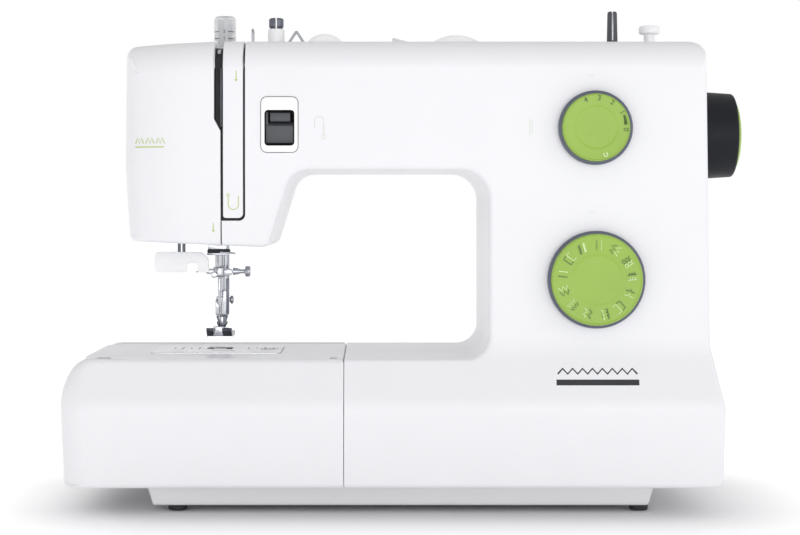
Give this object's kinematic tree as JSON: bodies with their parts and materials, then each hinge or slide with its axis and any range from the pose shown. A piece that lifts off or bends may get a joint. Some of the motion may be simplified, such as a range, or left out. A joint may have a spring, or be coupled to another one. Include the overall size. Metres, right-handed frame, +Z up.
{
  "type": "free-arm sewing machine",
  "caption": "Domestic free-arm sewing machine with dials, handwheel, needle and presser bars, hook and slide-off accessory tray.",
  "frame": {"origin": "centre of the overall box at the level of the feet", "axes": "+Z up, -Y towards the user, +X towards the handwheel"},
  "size_m": [0.4009, 0.165, 0.2945],
  "materials": {
    "white_plastic": "smooth satin gloss white",
    "clear_plastic": "milky translucent white",
    "green_plastic": "satin lime green",
    "ring_plastic": "satin bluish grey",
    "dark_plastic": "satin near black",
    "grey_plastic": "satin dark grey",
    "rubber": "matt black",
    "chrome": "polished",
    "steel": "satin",
    "cast_metal": "as cast",
    "motor_metal": "satin",
    "bulb_glass": "frosted"
  },
  "bodies": {
    "machine": {"front_cover": "white_plastic", "rear_cover": "white_plastic", "face_cover": "white_plastic", "thread_channel_cover": "white_plastic", "base_plate": "white_plastic", "foot_front_left": "rubber", "foot_front_right": "rubber", "foot_rear_left": "rubber", "foot_rear_right": "rubber", "free_arm_cover": "white_plastic", "bobbin_door": "white_plastic", "needle_plate": "steel", "hook_race": "steel", "bobbin_case": "chrome", "frame_casting": "cast_metal", "timing_belt": "rubber", "motor_belt": "rubber", "motor": "motor_metal", "lamp_socket": "grey_plastic", "lamp_bulb": "bulb_glass", "reverse_bezel": "white_plastic", "bobbin_thread_guide": "white_plastic", "top_thread_guide": "steel", "pretension_guide": "steel", "bobbin_stop": "white_plastic", "power_inlet": "dark_plastic"},
    "drive": {"main_shaft": "steel", "handwheel": "dark_plastic", "handwheel_cap": "green_plastic"},
    "lower_drive": {"lower_shaft": "steel"},
    "motor_rotor": {"motor_pulley": "steel"},
    "rotary_hook": {"hook": "steel"},
    "bobbin_body": {"bobbin": "clear_plastic"},
    "needle_slide": {"needle_bar": "chrome", "needle_clamp": "steel", "needle": "chrome"},
    "clamp_screw": {"needle_clamp_screw": "steel"},
    "presser": {"presser_bar": "chrome", "presser_ankle": "chrome", "presser_foot_holder": "dark_plastic", "presser_foot": "chrome"},
    "ankle_thumbscrew": {"ankle_screw": "steel"},
    "lifter": {"presser_lifter": "grey_plastic"},
    "take_up": {"take_up_lever": "chrome"},
    "threader": {"needle_threader": "white_plastic"},
    "feed": {"feed_dog": "steel"},
    "length_dial": {"stitch_length_dial": "ring_plastic", "stitch_length_cap": "green_plastic"},
    "stitch_dial": {"pattern_dial": "ring_plastic", "pattern_cap": "green_plastic"},
    "reverse": {"reverse_lever": "grey_plastic"},
    "tension": {"tension_dial": "white_plastic"},
    "width_dial": {"stitch_width_dial": "white_plastic"},
    "knob": {"pressure_knob": "clear_plastic"},
    "winder": {"bobbin_winder_spindle": "dark_plastic"},
    "spool": {"spool_pin": "white_plastic"},
    "handle": {"carry_handle": "white_plastic"},
    "tray": {"accessory_tray": "white_plastic"},
    "lid": {"tray_lid": "white_plastic"},
    "rocker": {"power_switch": "dark_plastic"}
  },
  "joints": [
    {"name": "handwheel_turn", "type": "hinge", "parent": "machine", "child": "drive", "pos_m": [0, -0.008, 0.22], "axis": [1, 0, 0], "continuous": true},
    {"name": "lower_shaft_turn", "type": "hinge", "parent": "machine", "child": "lower_drive", "pos_m": [0, 0.014, 0.058], "axis": [1, 0, 0], "continuous": true},
    {"name": "motor_turn", "type": "hinge", "parent": "machine", "child": "motor_rotor", "pos_m": [0, 0.025, 0.075], "axis": [1, 0, 0], "continuous": true},
    {"name": "hook_turn", "type": "hinge", "parent": "machine", "child": "rotary_hook", "pos_m": [-0.1148, 0, 0.058], "axis": [0, 1, 0], "continuous": true},
    {"name": "bobbin_turn", "type": "hinge", "parent": "machine", "child": "bobbin_body", "pos_m": [-0.1148, 0, 0.058], "axis": [0, 1, 0], "continuous": true},
    {"name": "needle_bar_slide", "type": "slide", "parent": "machine", "child": "needle_slide", "axis": [0, 0, 1], "range_m": [-0.028, 0.002]},
    {"name": "clamp_screw_turn", "type": "hinge", "parent": "needle_slide", "child": "clamp_screw", "pos_m": [-0.1, -0.0025, 0.1376], "axis": [1, 0, 0], "range_deg": [-180, 180]},
    {"name": "presser_bar_slide", "type": "slide", "parent": "machine", "child": "presser", "axis": [0, 0, 1], "range_m": [-0.007, 0.0014]},
    {"name": "ankle_screw_turn", "type": "hinge", "parent": "presser", "child": "ankle_thumbscrew", "pos_m": [-0.105, 0.0062, 0.12], "axis": [1, 0, 0], "range_deg": [-360, 0]},
    {"name": "lifter_turn", "type": "hinge", "parent": "machine", "child": "lifter", "pos_m": [-0.101, 0.022, 0.18], "axis": [1, 0, 0], "range_deg": [-40, 8]},
    {"name": "take_up_turn", "type": "hinge", "parent": "machine", "child": "take_up", "pos_m": [-0.11, -0.02, 0.236], "axis": [1, 0, 0], "range_deg": [0, 42]},
    {"name": "needle_threader_slide", "type": "slide", "parent": "machine", "child": "threader", "axis": [0, 0, 1], "range_m": [-0.024, 0], "stiffness_N_per_m": 60, "springref_m": 0.01},
    {"name": "feed_dog_slide", "type": "slide", "parent": "machine", "child": "feed", "axis": [0, 1, 0], "range_m": [-0.002, 0.002]},
    {"name": "stitch_length_turn", "type": "hinge", "parent": "machine", "child": "length_dial", "pos_m": [0.10525, -0.07, 0.2218], "axis": [0, 1, 0], "range_deg": [-60, 200]},
    {"name": "pattern_turn", "type": "hinge", "parent": "machine", "child": "stitch_dial", "pos_m": [0.10575, -0.07, 0.1352], "axis": [0, 1, 0], "continuous": true},
    {"name": "reverse_lever_turn", "type": "hinge", "parent": "machine", "child": "reverse", "pos_m": [-0.075, -0.0575, 0.222], "axis": [1, 0, 0], "range_deg": [0, 7], "stiffness_Nm_per_rad": 1.5, "springref_deg": -2.86},
    {"name": "tension_turn", "type": "hinge", "parent": "machine", "child": "tension", "pos_m": [-0.0498, -0.0375, 0.2651], "axis": [0, 1, 0], "range_deg": [-150, 150]},
    {"name": "stitch_width_turn", "type": "hinge", "parent": "machine", "child": "width_dial", "pos_m": [0.0274, -0.039, 0.2525], "axis": [0, 1, 0], "range_deg": [-60, 60]},
    {"name": "pressure_knob_slide", "type": "slide", "parent": "machine", "child": "knob", "axis": [0, 0, 1], "range_m": [-0.008, 0]},
    {"name": "winder_slide", "type": "slide", "parent": "machine", "child": "winder", "axis": [1, 0, 0], "range_m": [0, 0.008]},
    {"name": "spool_pin_slide", "type": "slide", "parent": "machine", "child": "spool", "axis": [0, 0, 1], "range_m": [0, 0.055]},
    {"name": "carry_handle_turn", "type": "hinge", "parent": "machine", "child": "handle", "pos_m": [0, 0.034, 0.2655], "axis": [1, 0, 0], "range_deg": [-90, 0]},
    {"name": "accessory_tray_slide", "type": "slide", "parent": "machine", "child": "tray", "axis": [1, 0, 0], "range_m": [-0.185, 0]},
    {"name": "tray_lid_turn", "type": "hinge", "parent": "tray", "child": "lid", "pos_m": [-0.109, -0.0709, 0.0892], "axis": [1, 0, 0], "range_deg": [0, 100]},
    {"name": "power_switch_turn", "type": "hinge", "parent": "machine", "child": "rocker", "pos_m": [0.172, -0.007, 0.046], "axis": [0, 0, 1], "range_deg": [-8, 8]}
  ],
  "couplings": [
    {"joint": "lower_shaft_turn", "follows": "handwheel_turn", "ratio": 1},
    {"joint": "motor_turn", "follows": "handwheel_turn", "ratio": 3.4286},
    {"joint": "hook_turn", "follows": "handwheel_turn", "ratio": 2},
    {"joint": "presser_bar_slide", "follows": "lifter_turn", "m_per_rad": 0.010027}
  ]
}
